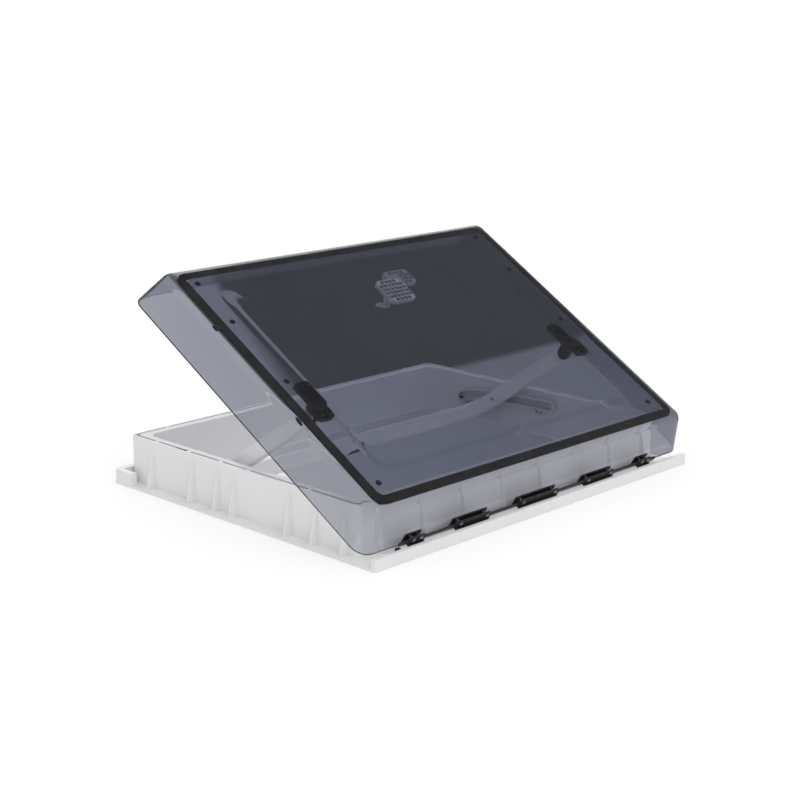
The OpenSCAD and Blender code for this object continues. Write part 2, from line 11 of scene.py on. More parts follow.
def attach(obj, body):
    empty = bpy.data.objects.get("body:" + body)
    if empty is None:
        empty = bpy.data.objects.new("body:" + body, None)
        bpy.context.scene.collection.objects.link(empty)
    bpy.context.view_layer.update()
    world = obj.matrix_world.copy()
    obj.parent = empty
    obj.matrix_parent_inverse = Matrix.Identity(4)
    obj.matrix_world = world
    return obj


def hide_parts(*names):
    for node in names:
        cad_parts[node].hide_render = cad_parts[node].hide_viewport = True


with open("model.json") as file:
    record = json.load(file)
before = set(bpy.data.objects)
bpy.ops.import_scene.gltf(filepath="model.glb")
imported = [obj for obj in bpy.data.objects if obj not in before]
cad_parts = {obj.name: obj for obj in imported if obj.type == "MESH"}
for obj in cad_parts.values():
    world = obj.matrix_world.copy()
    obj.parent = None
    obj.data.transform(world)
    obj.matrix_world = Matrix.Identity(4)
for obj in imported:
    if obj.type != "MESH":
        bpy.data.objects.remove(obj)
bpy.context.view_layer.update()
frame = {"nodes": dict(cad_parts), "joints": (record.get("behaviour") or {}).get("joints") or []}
mm = 0.001


# ---- Roof frame -----------------------------------------------------------------------------------
# One large injection moulding in white ABS: the flange that beds on the roof, the upright walls with
# their ribs, the lips round the flange and the white hinge knuckles. All its edges are slightly round.

def join(tree, source, output, target, socket):
    tree.links.new(source.outputs[output], target.inputs[socket])


def effect_group(name, inputs, outputs):
    """An empty shader node group: a tuple makes a colour socket, a number makes a plain one."""
    group = bpy.data.node_groups.new(name, "ShaderNodeTree")
    for title, value in inputs.items():
        kind = "NodeSocketColor" if isinstance(value, tuple) else "NodeSocketFloat"
        group.interface.new_socket(name=title, in_out="INPUT", socket_type=kind).default_value = value
    for title, kind in outputs.items():
        group.interface.new_socket(name=title, in_out="OUTPUT", socket_type="NodeSocket" + kind)
    return group, group.nodes.new("NodeGroupInput"), group.nodes.new("NodeGroupOutput")


def remap(tree, source, output, low, high, to_low=0.0, to_high=1.0):
    """A Map Range node that turns low to high into to_low to to_high."""
    node = tree.nodes.new("ShaderNodeMapRange")
    for socket, value in (("From Min", low), ("From Max", high), ("To Min", to_low), ("To Max", to_high)):
        node.inputs[socket].default_value = value
    join(tree, source, output, node, "Value")
    return node


def maths(tree, operation, first, first_output, second, second_output):
    node = tree.nodes.new("ShaderNodeMath")
    node.operation = operation
    join(tree, first, first_output, node, 0)
    join(tree, second, second_output, node, 1)
    return node


def noise_of(tree, scale, detail=3.0, stretch=(1, 1, 1)):
    """Noise on the piece's own coordinates, drawn out along one axis where stretch says so."""
    coords = tree.nodes.new("ShaderNodeTexCoord")
    mapping = tree.nodes.new("ShaderNodeMapping")
    mapping.inputs["Scale"].default_value = stretch
    noise = tree.nodes.new("ShaderNodeTexNoise")
    noise.inputs["Scale"].default_value = scale
    noise.inputs["Detail"].default_value = detail
    join(tree, coords, "Object", mapping, "Vector")
    join(tree, mapping, "Vector", noise, "Vector")
    return noise


def moulded_surface():
    """What a mould leaves on plastic: slow changes of shade, a fine grain and faint rubbed streaks."""
    group, given, result = effect_group(
        "moulded_surface",
        {"Colour": (0.8, 0.8, 0.8, 1), "Shade": 0.95, "Grain Scale": 900.0, "Roughness": 0.4, "Rubbing": 0.1},
        {"Colour": "Color", "Roughness": "Float", "Height": "Float"})
    shade = remap(group, noise_of(group, 7), "Fac", 0.3, 0.7)
    join(group, given, "Shade", shade, "To Min")
    tint = group.nodes.new("ShaderNodeVectorMath")
    tint.operation = "SCALE"
    join(group, given, "Colour", tint, 0)
    join(group, shade, "Result", tint, "Scale")
    join(group, tint, "Vector", result, "Colour")
    rubbed = remap(group, noise_of(group, 60, 6, (1, 6, 2)), "Fac", 0.52, 0.75)
    join(group, given, "Rubbing", rubbed, "To Max")
    roughness = maths(group, "ADD", rubbed, "Result", given, "Roughness")
    join(group, roughness, "Value", result, "Roughness")
    grain = noise_of(group, 900, 2)
    join(group, given, "Grain Scale", grain, "Scale")
    join(group, grain, "Fac", result, "Height")
    return group


first_colour, second_colour, mixed_colour = 6, 7, 2  # the Mix node's sockets for colours


def settled_dust():
    """Fine pale dust where a surface faces up, thicker in patches."""
    group, given, result = effect_group(
        "settled_dust", {"Colour": (0.1, 0.1, 0.1, 1), "Roughness": 0.4, "Dust": 0.1},
        {"Colour": "Color", "Roughness": "Float"})
    geometry = group.nodes.new("ShaderNodeNewGeometry")
    split = group.nodes.new("ShaderNodeSeparateXYZ")
    join(group, geometry, "Normal", split, "Vector")
    facing_up = remap(group, split, "Z", 0.2, 1.0)
    patches = remap(group, noise_of(group, 35, 6), "Fac", 0.35, 0.7, 0.25, 1.0)
    amount = maths(group, "MULTIPLY", facing_up, "Result", patches, "Result")
    dusty = maths(group, "MULTIPLY", amount, "Value", given, "Dust")
    colour = group.nodes.new("ShaderNodeMix")
    colour.data_type = "RGBA"
    colour.inputs[second_colour].default_value = (0.52, 0.50, 0.47, 1)
    join(group, dusty, "Value", colour, "Factor")
    join(group, given, "Colour", colour, first_colour)
    join(group, colour, mixed_colour, result, "Colour")
    roughness = maths(group, "ADD", given, "Roughness", dusty, "Value")
    join(group, roughness, "Value", result, "Roughness")
    return group


def edge_wear():
    """Lighter edges where hands and tools rub, broken up so that they don't read as a drawn line."""
    group, given, result = effect_group(
        "edge_wear", {"Colour": (0.1, 0.1, 0.1, 1), "Worn Colour": (0.3, 0.3, 0.3, 1), "Wear": 0.5},
        {"Colour": "Color"})
    geometry = group.nodes.new("ShaderNodeNewGeometry")
    edge = remap(group, geometry, "Pointiness", 0.515, 0.58)
    broken = remap(group, noise_of(group, 140, 5), "Fac", 0.4, 0.62)
    mask = maths(group, "MULTIPLY", edge, "Result", broken, "Result")
    worn = maths(group, "MULTIPLY", mask, "Value", given, "Wear")
    colour = group.nodes.new("ShaderNodeMix")
    colour.data_type = "RGBA"
    join(group, worn, "Value", colour, "Factor")
    join(group, given, "Colour", colour, first_colour)
    join(group, given, "Worn Colour", colour, second_colour)
    join(group, colour, mixed_colour, result, "Colour")
    return group


surface_group, dust_group, wear_group = moulded_surface(), settled_dust(), edge_wear()


def placed(tree, group, **values):
    node = tree.nodes.new("ShaderNodeGroup")
    node.node_tree = group
    for title, value in values.items():
        node.inputs[title.replace("_", " ")].default_value = value
    return node


def moulded_plastic(name, colour, roughness, shade=0.95, grain=900.0, relief=0.05, rubbing=0.1, wear=0.3,
                    worn=(0.9, 0.9, 0.9), dust=0.05):
    """A moulded plastic with grain, rubbed streaks, worn edges and a little dust."""
    material = bpy.data.materials.new(name)
    material.use_nodes = True
    tree = material.node_tree
    shader = tree.nodes["Principled BSDF"]
    surface = placed(tree, surface_group, Colour=(*colour, 1), Shade=shade, Grain_Scale=grain,
                     Roughness=roughness, Rubbing=rubbing)
    edges = placed(tree, wear_group, Worn_Colour=(*worn, 1), Wear=wear)
    dusty = placed(tree, dust_group, Dust=dust)
    bump = tree.nodes.new("ShaderNodeBump")
    bump.inputs["Strength"].default_value = relief
    bump.inputs["Distance"].default_value = 0.4 * mm
    join(tree, surface, "Colour", edges, "Colour")
    join(tree, edges, "Colour", dusty, "Colour")
    join(tree, surface, "Roughness", dusty, "Roughness")
    join(tree, dusty, "Colour", shader, "Base Color")
    join(tree, dusty, "Roughness", shader, "Roughness")
    join(tree, surface, "Height", bump, "Height")
    join(tree, bump, "Normal", shader, "Normal")
    return material


def piece(bm, name, material, body, slot, *nodes, sharp=35):
    """Makes a finished mesh into a piece that rides on its body and stands for its CAD nodes."""
    mesh = bpy.data.meshes.new(name)
    bm.to_mesh(mesh)
    bm.free()
    mesh.materials.append(material)
    mesh.shade_smooth()
    mesh.set_sharp_from_angle(angle=math.radians(sharp))
    made = bpy.data.objects.new(name, mesh)
    bpy.context.scene.collection.objects.link(made)
    made.modifiers.new("flat_faces_shade_flat", "WEIGHTED_NORMAL").keep_sharp = True
    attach(made, body)
    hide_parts(*nodes)


def hard_edges(bm, limit):
    """The outer edges that turn by more than the limit, in degrees."""
    return [e for e in bm.edges
            if e.is_manifold and e.is_convex and e.calc_face_angle() > math.radians(limit)]


def round_edges(bm, edges, radius, segments=2):
    bmesh.ops.bevel(bm, geom=edges, offset=radius, offset_type="OFFSET", segments=segments, profile=0.5,
                    affect="EDGES", material=-1, clamp_overlap=True)


def welded(node):
    """A copy of a CAD node's mesh with its loose triangles joined."""
    bm = bmesh.new()
    bm.from_mesh(frame["nodes"][node].data)
    bmesh.ops.remove_doubles(bm, verts=bm.verts, dist=0.01 * mm)
    return bm


def softened(node, radius, segments=2, limit=40):
    """A CAD node's shape with its flat faces joined and its hard outer edges rounded."""
    bm = welded(node)
    bmesh.ops.dissolve_limit(bm, angle_limit=math.radians(0.5), verts=bm.verts, edges=bm.edges)
    round_edges(bm, hard_edges(bm, limit), radius, segments)
    return bm


white_abs = moulded_plastic("white_abs", (0.82, 0.82, 0.825), 0.30, shade=0.975, grain=700.0, relief=0.03,
                            wear=0.2, dust=0.04)
piece(softened("outer_frame", 0.7 * mm), "roof_frame", white_abs, "frame", "white_frame", "outer_frame")


# ---- Inner liner ----------------------------------------------------------------------------------
# A light grey ABS frame that lines the opening. Its flange lies level with the walls' top, across a groove
# that short bridges cross.

liner_abs = moulded_plastic("liner_abs", (0.70, 0.70, 0.725), 0.34, shade=0.965, grain=700.0, relief=0.03,
                            wear=0.2, dust=0.05)
piece(softened("inner_liner", 0.6 * mm), "liner", liner_abs, "frame", "liner", "inner_liner")


# ---- Guide rails ----------------------------------------------------------------------------------
# Two curved acetal rails on the liner's sides, in which the bow's rollers run. Three cross-head screws
# hold each one, and a rubber stop sits in the shut end of its slot.

def solids_of(node, place=Matrix()):
    """The separate solids of a CAD node, each as its low and high corner in the place it was drawn in."""
    bm = welded(node)
    bm.transform(place.inverted())
    boxes = []
    unseen = set(bm.verts)
    while unseen:
        solid = [unseen.pop()]
        for vert in solid:
            for edge in vert.link_edges:
                other = edge.other_vert(vert)
                if other in unseen:
                    unseen.remove(other)
                    solid.append(other)
        boxes.append(tuple(Vector(pick(v.co[i] for v in solid) for i in range(3)) for pick in (min, max)))
    bm.free()
    return sorted(boxes, key=lambda box: tuple(box[0]))


def turned(profile, steps=32):
    """A turned part round Z, from (radius, height) pairs that start and end on the axis or make a ring."""
    bm = bmesh.new()
    verts = [bm.verts.new((r, 0, z)) for r, z in profile]
    edges = [bm.edges.new(pair) for pair in zip(verts, verts[1:])]
    if profile[0][0] > 0:
        edges.append(bm.edges.new((verts[-1], verts[0])))
    bmesh.ops.spin(bm, geom=verts + edges, cent=(0, 0, 0), axis=(0, 0, 1), dvec=(0, 0, 0),
                   angle=math.tau, steps=steps, use_merge=True)
    bmesh.ops.remove_doubles(bm, verts=bm.verts, dist=0.005 * mm)
    bmesh.ops.recalc_face_normals(bm, faces=bm.faces)
    return bm


def combined(base, tool, operation="DIFFERENCE"):
    """The base mesh with the tool mesh cut out of it or joined to it."""
    parts = []
    for bm in (base, tool):
        bmesh.ops.recalc_face_normals(bm, faces=bm.faces)
        mesh = bpy.data.meshes.new("part")
        bm.to_mesh(mesh)
        bm.free()
        parts.append(bpy.data.objects.new("part", mesh))
        bpy.context.scene.collection.objects.link(parts[-1])
    step = parts[0].modifiers.new("step", "BOOLEAN")
    step.operation = operation
    step.solver = "EXACT"
    step.object = parts[1]
    made = bmesh.new()
    made.from_object(parts[0], bpy.context.evaluated_depsgraph_get())
    for part in parts:
        mesh = part.data
        bpy.data.objects.remove(part)
        bpy.data.meshes.remove(mesh)
    return made


def block(low, high):
    """A plain box between two corners."""
    bm = bmesh.new()
    bmesh.ops.create_cube(bm, size=1)
    low, high = Vector(low), Vector(high)
    bmesh.ops.scale(bm, vec=high - low, verts=bm.verts)
    bmesh.ops.translate(bm, vec=(low + high) / 2, verts=bm.verts)
    return bm


def cross_screw(head_t, shank_l, head_r=3.6 * mm, shank_r=2 * mm):
    """A pan-head screw along Z with a cross recess: its head lies below zero and its shank above."""
    bm = turned([(0, -head_t), (0.5 * head_r, -0.97 * head_t), (0.8 * head_r, -0.78 * head_t),
                 (head_r, -0.3 * head_t), (head_r, 0), (shank_r, 0), (shank_r, shank_l), (0, shank_l)], 24)
    arm, width, depth = 0.62 * head_r, 0.15 * head_r, 0.6 * head_t
    for x, y in ((arm, width), (width, arm)):
        bm = combined(bm, block((-x, -y, -1.5 * head_t), (x, y, depth - head_t)))
    return bm


def merged(parts):
    """One mesh from (mesh, place) pairs, where each mesh may be used many times."""
    whole = bmesh.new()
    for bm, place in parts:
        copy = bm.copy()
        copy.transform(place)
        if place.determinant() < 0:
            bmesh.ops.reverse_faces(copy, faces=copy.faces)
        mesh = bpy.data.meshes.new("copy")
        copy.to_mesh(mesh)
        copy.free()
        whole.from_mesh(mesh)
        bpy.data.meshes.remove(mesh)
    return whole


zinc_steel = moulded_plastic("zinc_steel", (0.60, 0.60, 0.61), 0.27, shade=0.85, grain=1500.0, relief=0.04,
                             rubbing=0.25, wear=0.2, dust=0.03)
zinc_steel.node_tree.nodes["Principled BSDF"].inputs["Metallic"].default_value = 1
rail_acetal = moulded_plastic("rail_acetal", (0.60, 0.60, 0.62), 0.32, shade=0.94, grain=1200.0, relief=0.04)
black_epdm = moulded_plastic("black_epdm", (0.012, 0.012, 0.014), 0.52, shade=0.7, grain=2200.0, relief=0.12,
                             wear=0.1, worn=(0.05, 0.05, 0.055), dust=0.06)
for side in ("left", "right"):
    piece(softened("guide_rail_" + side, 0.5 * mm), "rail_" + side, rail_acetal, "frame", "rail",
          "guide_rail_" + side)

head_t = 2.2 * mm
rail_screw = cross_screw(head_t, 8.5 * mm)
places = []
for low, high in solids_of("guide_rail_screws"):
    outward = 1 if low.x > 0 else -1
    seat = min(abs(low.x), abs(high.x)) + head_t
    middle = (low + high) / 2
    places.append((rail_screw, Matrix.Translation((outward * seat, middle.y, middle.z))
                   @ Matrix.Rotation(outward * math.pi / 2, 4, "Y")))
piece(merged(places), "rail_screws", zinc_steel, "frame", "steel", "guide_rail_screws")
piece(softened("rail_buffers", 0.4 * mm), "rail_stops", black_epdm, "frame", "rubber", "rail_buffers")


# ---- Rim plugs ------------------------------------------------------------------------------------
# Two black oval plugs, moulded in nylon and pressed into the rim's groove, where they close the drain
# slots.

black_nylon = moulded_plastic("black_nylon", (0.020, 0.020, 0.023), 0.40, shade=0.75, grain=1500.0,
                              relief=0.15, rubbing=0.15, wear=0.35, worn=(0.10, 0.10, 0.105), dust=0.05)
piece(softened("rim_plugs", 0.8 * mm, 3), "groove_plugs", black_nylon, "frame", "black_plastic", "rim_plugs")


# ---- Hinge pin ------------------------------------------------------------------------------------
# A long plated steel rod through the frame's knuckles and the dome's blocks, with a pressed black cap
# on each end.

joints = {joint["name"]: joint for joint in frame["joints"]}
hinge_place = Matrix.Translation(joints["dome_hinge"]["pos_m"])
low, high = solids_of("hinge_pin", hinge_place)[0]
rod_r, nick = high.z, 0.4 * mm
along_x = Matrix.Rotation(math.pi / 2, 4, "Y")
rod = turned([(0, low.x), (rod_r - nick, low.x), (rod_r, low.x + nick), (rod_r, high.x - nick),
              (rod_r - nick, high.x), (0, high.x)])
piece(merged([(rod, hinge_place @ along_x)]), "hinge_rod", zinc_steel, "frame", "steel", "hinge_pin")
low, high = solids_of("hinge_pin_caps", hinge_place)[1]
cap_r = high.z
cap = turned([(0, low.x), (cap_r, low.x), (cap_r, high.x - 1.4 * mm), (cap_r - 0.5 * mm, high.x - 0.5 * mm),
              (cap_r - 1.5 * mm, high.x), (1.6 * mm, high.x), (1.2 * mm, high.x - 0.5 * mm),
              (0, high.x - 0.6 * mm)])
piece(merged([(cap, hinge_place @ along_x), (cap, hinge_place @ Matrix.Rotation(math.pi, 4, "Z") @ along_x)]),
      "hinge_caps", black_nylon, "frame", "black_plastic", "hinge_pin_caps")


# ---- Outer dome -----------------------------------------------------------------------------------
# One sheet of grey tinted acrylic, vacuum formed into a tub with sloping skirts. Its corners and its top
# edge are round where the hot sheet was drawn over the mould, and its lower edge is sawn and polished.

opened = math.radians(-joints["dome_hinge"]["range_deg"][0])
dome_place = hinge_place @ Matrix.Rotation(opened, 4, "X")


def points_of(node, place):
    """A CAD node's corners in the place that it was drawn in."""
    back = place.inverted()
    return [back @ v.co for v in frame["nodes"][node].data.vertices]


def corners_of(points):
    """The low and the high corner of the box round some points."""
    return [Vector(pick(p[i] for p in points) for i in range(3)) for pick in (min, max)]


def rounded(low_x, low_y, high_x, high_y, radius, segments):
    """The points of a rounded rectangle, counter-clockwise."""
    points = []
    for corner, (x, y) in enumerate(((high_x - radius, high_y - radius), (low_x + radius, high_y - radius),
                                     (low_x + radius, low_y + radius), (high_x - radius, low_y + radius))):
        for i in range(segments + 1):
            angle = (corner + i / segments) * math.pi / 2
            points.append((x + radius * math.cos(angle), y + radius * math.sin(angle)))
    return points


def skinned(loops, ring=False):
    """A closed shape through loops of as many points each: capped at both ends, or closed on itself."""
    bm = bmesh.new()
    rows = [[bm.verts.new(point) for point in loop] for loop in loops]
    for outer, inner in zip(rows, rows[1:] + rows[:1] if ring else rows[1:]):
        for i, vert in enumerate(outer):
            bm.faces.new((outer[i - 1], vert, inner[i], inner[i - 1]))
    if not ring:
        bm.faces.new(rows[0])
        bm.faces.new(rows[-1])
    bmesh.ops.recalc_face_normals(bm, faces=bm.faces)
    return bm


def lofted(steps, segments=10, ring=False):
    """A closed shape through rounded rectangles, each given as low x, low y, high x, high y, radius and z."""
    return skinned([[(x, y, step[5]) for x, y in rounded(*step[:5], segments)] for step in steps], ring)


def blended(first, second, share):
    """A step that lies a share of the way from the first to the second."""
    return [a + (b - a) * share for a, b in zip(first, second)]


def narrowed(step, by, radius, z):
    """A step drawn in on all four sides, with its own corner radius and height."""
    return [step[0] + by, step[1] + by, step[2] - by, step[3] - by, radius, z]


def skirt_and_lid(bottom, top, edge, count=6):
    """Steps up a sloping skirt and round its edge into the flat lid."""
    before = blended(bottom, top, 1 - edge / (top[5] - bottom[5]))
    after = narrowed(top, edge, top[4] - 0.6 * edge, top[5])
    steps = [bottom]
    for i in range(count + 1):
        share = i / count
        steps.append(blended(blended(before, top, share), blended(top, after, share), share))
    return steps


def acrylic(name, tint):
    """Tinted clear acrylic, polished on both faces. Its tint varies a little across the sheet.

    Light that falls through it onto other pieces keeps only a small share of its tint."""
    material = bpy.data.materials.new(name)
    material.use_nodes = True
    tree = material.node_tree
    shader = tree.nodes["Principled BSDF"]
    shader.inputs["Roughness"].default_value = 0.01
    shader.inputs["IOR"].default_value = 1.49
    shader.inputs["Transmission Weight"].default_value = 1
    surface = placed(tree, surface_group, Colour=(*tint, 1), Shade=0.96)
    join(tree, surface, "Colour", shader, "Base Color")
    clear = tree.nodes.new("ShaderNodeBsdfTransparent")
    cast_share = 0.08
    clear.inputs["Color"].default_value = (*(c ** cast_share for c in tint), 1)
    path = tree.nodes.new("ShaderNodeLightPath")
    lighting = maths(tree, "MAXIMUM", path, "Is Shadow Ray", path, "Is Diffuse Ray")
    mix = tree.nodes.new("ShaderNodeMixShader")
    join(tree, lighting, "Value", mix, "Fac")
    join(tree, shader, "BSDF", mix, 1)
    join(tree, clear, "BSDF", mix, 2)
    join(tree, mix, "Shader", tree.nodes["Material Output"], "Surface")
    return material


outer_acrylic = acrylic("outer_acrylic", (0.65, 0.66, 0.715))
shell_points = points_of("dome_shell", dome_place)
low, high = corners_of(shell_points)
lid = corners_of([p for p in shell_points if p.z > high.z - 0.05 * mm])
wall, sawn_angle = 3.5 * mm, 60
skirt_corner, lid_corner, inner_lid_corner = 26 * mm, 13 * mm, 10 * mm
outer_bend, inner_bend = 14 * mm, 8 * mm
bottom = [low.x, low.y, high.x, high.y, skirt_corner, low.z]
top = [lid[0].x, lid[0].y, lid[1].x, lid[1].y, lid_corner, high.z]
inner_bottom = narrowed(bottom, wall, skirt_corner - wall, low.z)
inner_top = narrowed(blended(bottom, top, 1 - wall / (high.z - low.z)), wall, inner_lid_corner, high.z - wall)
inside, outside = skirt_and_lid(inner_bottom, inner_top, inner_bend), skirt_and_lid(bottom, top, outer_bend)
dome = lofted(inside[::-1] + outside)
round_edges(dome, hard_edges(dome, sawn_angle), 0.7 * mm)
dome.transform(dome_place)
piece(dome, "outer_dome", outer_acrylic, "dome", "outer_acrylic", "dome_shell")


# ---- Inner pane -----------------------------------------------------------------------------------
# A second, thinner acrylic sheet under the dome's flat top. Its border is flat, and its middle was blown
# down into a shallow bulge with a soft edge.

inner_acrylic = acrylic("inner_acrylic", (0.50, 0.52, 0.61))
pane_t, pane_corner, border, slope, steps = 2.8 * mm, 12 * mm, 36 * mm, 26 * mm, 12
low, high = corners_of(points_of("inner_pane", dome_place))
drop = high.z - low.z - pane_t
upper = [[low.x, low.y, high.x, high.y, pane_corner, high.z]]
for i in range(steps + 1):
    upper.append(narrowed(upper[0], border + slope * i / steps, (30 - 3 * i / steps) * mm,
                          high.z - drop * (1 - math.cos(math.pi * i / steps)) / 2))
sheet = lofted([step[:5] + [step[5] - pane_t] for step in reversed(upper)] + upper)
round_edges(sheet, hard_edges(sheet, sawn_angle), 0.6 * mm)
sheet.transform(dome_place)
piece(sheet, "pane", inner_acrylic, "dome", "inner_acrylic", "inner_pane")


# ---- Seal -----------------------------------------------------------------------------------------
# A soft EPDM strip that runs round between the two sheets and lands on the rim when the vent is shut.
# Two lips stand along its lower face, with a groove between them.

low, high = corners_of(points_of("dome_seal", dome_place))
seal_t, corner = high.z - low.z, 21
outer = [low.x, low.y, high.x, high.y, corner * mm, high.z]
# The strip's section, as mm inwards from its outer edge and shares of its thickness below its upper face
section = ((0, 0), (0.3, 0.75), (1.2, 1), (2.1, 0.8), (3.3, 0.52), (8.2, 0.52), (9.4, 0.8), (10.3, 1),
           (11.2, 0.8), (12.4, 0.75), (13.6, 0.75), (14, 0))
seal = lofted([narrowed(outer, inwards * mm, (corner - inwards) * mm, high.z - below * seal_t)
               for inwards, below in section], ring=True)
seal.transform(dome_place)
piece(seal, "seal", black_epdm, "dome", "rubber", "dome_seal", sharp=50)
piece(softened("seal_clips", 0.6 * mm), "seal_clip_pair", black_nylon, "dome", "black_plastic", "seal_clips")


# ---- Pane screws ----------------------------------------------------------------------------------
# Turned steel screws, coated black, with flat round knobs that are dished in the middle. They go through
# the pane's border and hold it up against the seal.

knob_r, knob_t = 5 * mm, 2.2 * mm
knob_screw = turned([(0, -1.5 * mm), (1.4 * mm, -1.5 * mm), (1.6 * mm, -2.1 * mm), (3.6 * mm, -knob_t),
                     (4.6 * mm, -1.8 * mm), (knob_r, -1.2 * mm), (knob_r, 0), (2 * mm, 0), (2 * mm, pane_t),
                     (0, pane_t)])
screw_black = moulded_plastic("screw_black", (0.016, 0.016, 0.018), 0.35, shade=0.8, grain=1800.0,
                              relief=0.08, wear=0.3, worn=(0.14, 0.14, 0.14), dust=0.03)


def upright_screws(node, screw, head_t):
    """A screw in the place of each of a node's solids, with its head towards the inside of the vehicle."""
    places = []
    for low, high in solids_of(node, dome_place):
        at = Vector(((low.x + high.x) / 2, (low.y + high.y) / 2, low.z + head_t))
        places.append((screw, dome_place @ Matrix.Translation(at)))
    return merged(places)


piece(upright_screws("pane_screws", knob_screw, knob_t), "pane_knobs", screw_black, "dome", "black_screws",
      "pane_screws")


# ---- Hinge blocks ---------------------------------------------------------------------------------
# Five black nylon blocks clamp the dome's front skirt and turn on the pin, and a thin black strip covers
# the skirt's edge between them. Two screws go through each block.

for number in range(1, 6):
    node = "hinge_block_%d" % number
    piece(softened(node, 0.6 * mm), "block_%d" % number, black_nylon, "dome", "black_plastic", node)
piece(softened("hinge_strip", 0.4 * mm), "edge_strip", black_nylon, "dome", "black_plastic", "hinge_strip")
head_t = 1.2 * mm
block_screw = cross_screw(head_t, 15 * mm)
places = []
for low, high in solids_of("hinge_block_screws", dome_place):
    middle = (low + high) / 2
    places.append((block_screw, dome_place @ Matrix.Translation((middle.x, low.y + head_t, middle.z))
                   @ Matrix.Rotation(-math.pi / 2, 4, "X")))
piece(merged(places), "block_screws", zinc_steel, "dome", "steel", "hinge_block_screws")


# ---- Bow brackets ---------------------------------------------------------------------------------
# Two black nylon brackets screwed to the inner pane. Each has a foot of two offset lobes, cored out from
# above so that thin ribs are left, and one ear that carries the bow's pin.

def cored_foot(lobes, low_z, high_z, rib, depth):
    """A foot of two overlapping plates, cored out from above so that ribs are left.

    Each lobe is its middle's x and y, its width, its depth and its corner radius, in mm."""
    plates, wells, taken = [], [], []
    for x, y, wide, deep, radius in lobes:
        low = Vector((x - wide / 2, y - deep / 2, 0)) * mm
        high = Vector((x + wide / 2, y + deep / 2, 0)) * mm
        step = [low.x, low.y, high.x, high.y, radius * mm]
        thinner = len(plates) * 0.2 * mm
        plates.append(lofted([step + [low_z + thinner], step + [high_z - thinner]]))
        across, along = round(wide / 10), round(deep / 10)
        pitch_x, pitch_y = (high.x - low.x - rib) / across, (high.y - low.y - rib) / along
        for i in range(across):
            for j in range(along):
                near = Vector((low.x + rib + i * pitch_x, low.y + rib + j * pitch_y, high_z - depth))
                far = Vector((low.x + (i + 1) * pitch_x, low.y + (j + 1) * pitch_y, high_z + 1 * mm))
                at_corner = i in (0, across - 1) and j in (0, along - 1)
                covered = any(near.x < b.x + rib and far.x > a.x - rib and near.y < b.y + rib
                              and far.y > a.y - rib for a, b in taken)
                if not at_corner and not covered:
                    wells.append((block(near, far), Matrix()))
        taken.append((low, high))
    return combined(combined(*plates, "UNION"), merged(wells))


def rod_along_z(radius, start, end, steps=48):
    """A plain round rod, to bore a hole with or to build on."""
    return turned([(0, start), (radius, start), (radius, end), (0, end)], steps)


pivot = dome_place.inverted() @ Vector(joints["bow_swing"]["pos_m"])
top = corners_of(points_of("bow_bracket_right", dome_place))[1].z
foot_t, ear_r, ear_in, ear_out, ear_edge = 6.4 * mm, 12 * mm, 315 * mm, 323 * mm, 0.8 * mm
rib, well_depth, bow_pin_r, overlap = 1.6 * mm, 4.6 * mm, 5 * mm, 1 * mm
under = top - foot_t
foot = cored_foot(((316, 282, 32, 58, 7), (323, 246, 34, 42, 9)), under, top, rib, well_depth)
ear = turned([(0, ear_in), (ear_r - ear_edge, ear_in), (ear_r, ear_in + ear_edge),
              (ear_r, ear_out - ear_edge), (ear_r - ear_edge, ear_out), (0, ear_out)], 48)
pivot_shift = Matrix.Translation((0, pivot.y, pivot.z))
ear = merged([(ear, pivot_shift @ along_x)])
ear = combined(ear, block((ear_in + 0.4 * mm, pivot.y - ear_r + 0.3 * mm, pivot.z),
                          (ear_out - 0.4 * mm, pivot.y + ear_r - 0.3 * mm, under + overlap)), "UNION")
bracket = combined(foot, ear, "UNION")
gusset_size, half_gusset = 12 * mm, 2 * mm
for shift in (-1, 1):
    y = pivot.y + shift * (ear_r - half_gusset)
    gusset = block((ear_in - gusset_size, y - half_gusset, under - gusset_size),
                   (ear_in + overlap, y + half_gusset, under + overlap))
    for vert in gusset.verts:
        if vert.co.x < ear_in and vert.co.z < under:
            vert.co.z = under - overlap
    bracket = combined(bracket, gusset, "UNION")
drill = rod_along_z(bow_pin_r + 0.02 * mm, ear_in - 15 * mm, ear_out + 7 * mm)
bracket = combined(bracket, merged([(drill, pivot_shift @ along_x)]))
mirrored = Matrix.Scale(-1, 4, (1, 0, 0))
sides = (("right", Matrix()), ("left", mirrored))
for side, turn in sides:
    piece(merged([(bracket, dome_place @ turn)]), "bracket_" + side, black_nylon, "dome", "black_plastic",
          "bow_bracket_" + side)
head_t = 2 * mm
bracket_screw = cross_screw(head_t, 9.2 * mm)
piece(upright_screws("bracket_screws", bracket_screw, head_t), "bracket_screw_set", zinc_steel, "dome",
      "steel", "bracket_screws")


# ---- Bow pins and washers ---------------------------------------------------------------------------
# A black pin with a broad ringed head goes through each arm of the bow into its bracket's ear, and a
# natural nylon washer keeps the arm off the ear.

